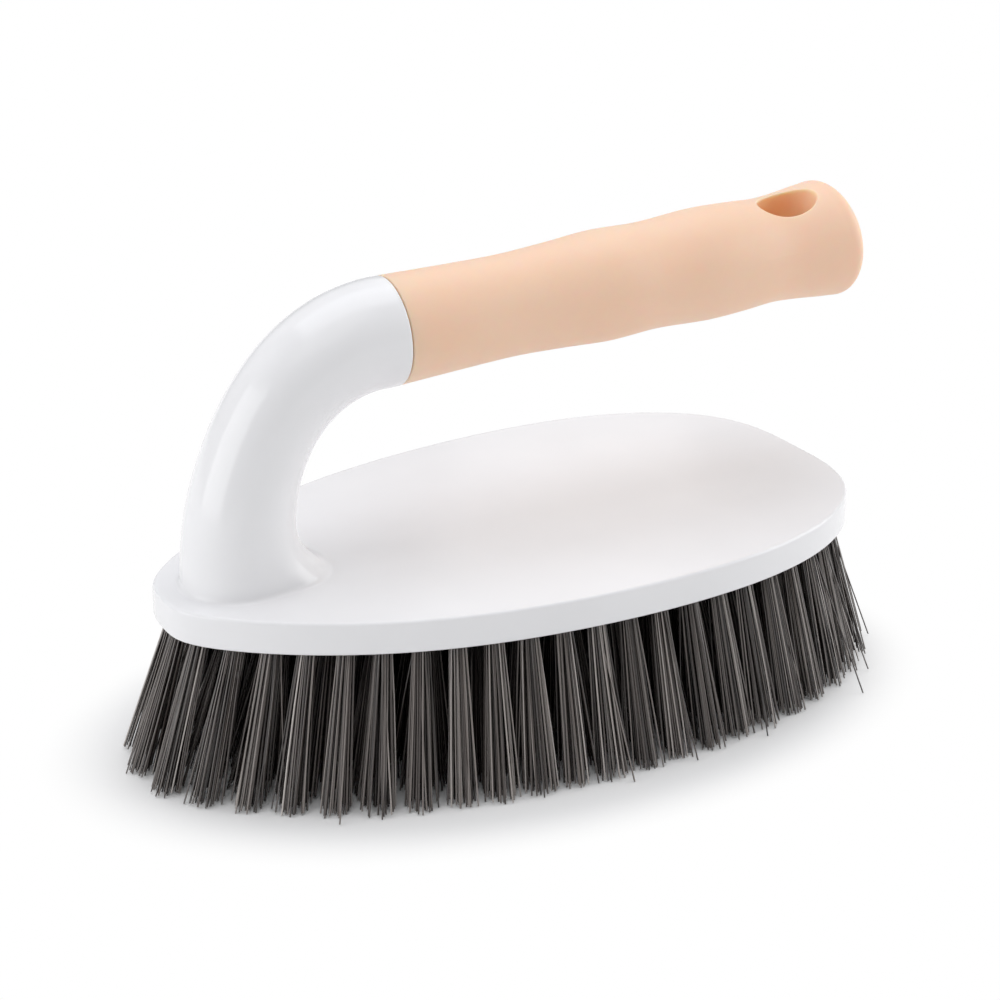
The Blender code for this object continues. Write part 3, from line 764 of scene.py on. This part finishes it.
def white_floor():
    """Matt white paper with the brush's shadow; clear of the tips it is pure white to the eye."""
    mesh = bpy.data.meshes.new("studio_floor")
    corners = [(x * FLOOR_HALF, y * FLOOR_HALF, 0) for x, y in ((-1, -1), (1, -1), (1, 1), (-1, 1))]
    mesh.from_pydata(corners, [], [(0, 1, 2, 3)])
    floor = bpy.data.objects.new("studio_floor", mesh)
    bpy.context.scene.collection.objects.link(floor)
    made, tree, shader = new_material("matt_white_paper", {
        "Base Color": linear("#F4F4F4"), "Roughness": 0.9,
    })
    path = add_node(tree, "ShaderNodeLightPath").outputs
    seen = add_node(tree, "ShaderNodeMath", {"operation": "MAXIMUM"}, {
        0: path["Is Camera Ray"], 1: path["Is Glossy Ray"],
    })
    seen = add_node(tree, "ShaderNodeMath", {"operation": "MAXIMUM"}, {
        0: seen.outputs[0], 1: path["Is Transmission Ray"],
    })
    place = add_node(tree, "ShaderNodeTexCoord").outputs["Object"]
    round_tips = add_node(tree, "ShaderNodeMapping", {
        "vector_type": "TEXTURE", "Location": SHADOW_MIDDLE, "Rotation": (0, 0, SHADOW_TURN),
        "Scale": SHADOW_HALF_SIZE,
    }, {"Vector": place})
    apart = add_node(tree, "ShaderNodeVectorMath", {"operation": "LENGTH"}, {
        0: round_tips.outputs["Vector"],
    })
    beyond = add_node(tree, "ShaderNodeMapRange", {
        "interpolation_type": "SMOOTHSTEP", "From Min": SHADOW_FULL, "From Max": SHADOW_GONE,
    }, {"Value": apart.outputs["Value"]})
    white = add_node(tree, "ShaderNodeEmission", {"Color": (1, 1, 1, 1), "Strength": 1.0})
    fade = add_node(tree, "ShaderNodeMath", {"operation": "MULTIPLY"}, {
        0: seen.outputs[0], 1: beyond.outputs["Result"],
    })
    both = add_node(tree, "ShaderNodeMixShader", {}, {
        0: fade.outputs[0], 1: shader.outputs[0], 2: white.outputs[0],
    })
    # From below the paper is clear, so that the brush's underside shows
    below = add_node(tree, "ShaderNodeNewGeometry").outputs["Backfacing"]
    clear = add_node(tree, "ShaderNodeBsdfTransparent")
    shown = add_node(tree, "ShaderNodeMixShader", {}, {
        0: below, 1: both.outputs[0], 2: clear.outputs[0],
    })
    tree.links.new(shown.outputs[0], tree.nodes["Material Output"].inputs["Surface"])
    mesh.materials.append(made)


def white_surround():
    """White all round to the eye; to the brush only a soft even fill."""
    world = bpy.data.worlds.new("studio_surround")
    world.use_nodes = True
    bpy.context.scene.world = world
    tree = world.node_tree
    back = tree.nodes["Background"]
    path = add_node(tree, "ShaderNodeLightPath").outputs
    strength = add_node(tree, "ShaderNodeMapRange", {"To Min": FILL_STRENGTH, "To Max": 1.0}, {
        "Value": path["Is Camera Ray"],
    })
    back.inputs["Color"].default_value = (1, 1, 1, 1)
    tree.links.new(strength.outputs["Result"], back.inputs["Strength"])


# Softboxes: name, place and aim in metres, width, height, power, colour
SOFTBOXES = (
    ("top_softbox", (0.05, 0.25, 1.2), (0, 0, 0.05), 1.2, 1.0, 7.2, "#FAFBFF"),
    ("top_front_softbox", (-0.3, -0.5, 1.1), (0, 0, 0.05), 0.8, 0.8, 1.5, "#FFFFFF"),
    ("back_softbox", (0.2, 1.1, 0.9), (0, 0, 0.08), 1.4, 0.8, 1.5, "#FFFFFF"),
    ("left_softbox", (-1.2, -0.03, 0.45), (0, 0, 0.08), 1.1, 0.85, 6.6, "#FFFFFF"),
    ("right_softbox", (1.1, -0.5, 0.45), (0, 0, 0.08), 0.9, 0.95, 7.4, "#FFFFFF"),
    ("right_back_softbox", (1.0, 0.5, 0.6), (0, 0, 0.08), 1.6, 1.4, 2.8, "#FFFFFF"),
)
CAMERA_PLACE = (-0.2412, -0.4136, 0.2684)
CAMERA_AIM = (-0.0023, 0, 0.0561)
CAMERA_LENS = 65.74
SENSOR_WIDTH = 36
DRAW_SEED = 7


def set_camera():
    """The camera at the photograph's viewing angle."""
    data = bpy.data.cameras.new("photo_view")
    data.sensor_width = SENSOR_WIDTH
    data.lens = CAMERA_LENS
    camera = bpy.data.objects.new("photo_view", data)
    camera.location = CAMERA_PLACE
    towards = Vector(CAMERA_AIM) - camera.location
    camera.rotation_euler = towards.to_track_quat("-Z", "Y").to_euler()
    bpy.context.scene.collection.objects.link(camera)
    bpy.context.scene.camera = camera


def main():
    scene = bpy.context.scene
    scene.view_settings.view_transform = "Standard"
    set_camera()
    white_floor()
    white_surround()
    for softbox in SOFTBOXES:
        area_light(*softbox)

    white = white_polypropylene()
    back = make_back(white)
    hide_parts("back_shell")
    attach(back, "root")

    grip = make_grip(peach_elastomer())
    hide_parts("grip")
    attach(grip, "root")

    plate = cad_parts["tuft_plate"]
    plate.material_slots[0].material = white_block()

    draw = np.random.default_rng(DRAW_SEED)
    strand = nylon_filament()
    for name, mouths, leans in tuft_groups():
        bunch = make_filaments(name, mouths, leans, draw, strand)
        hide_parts(name)
        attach(bunch, "root")


main()
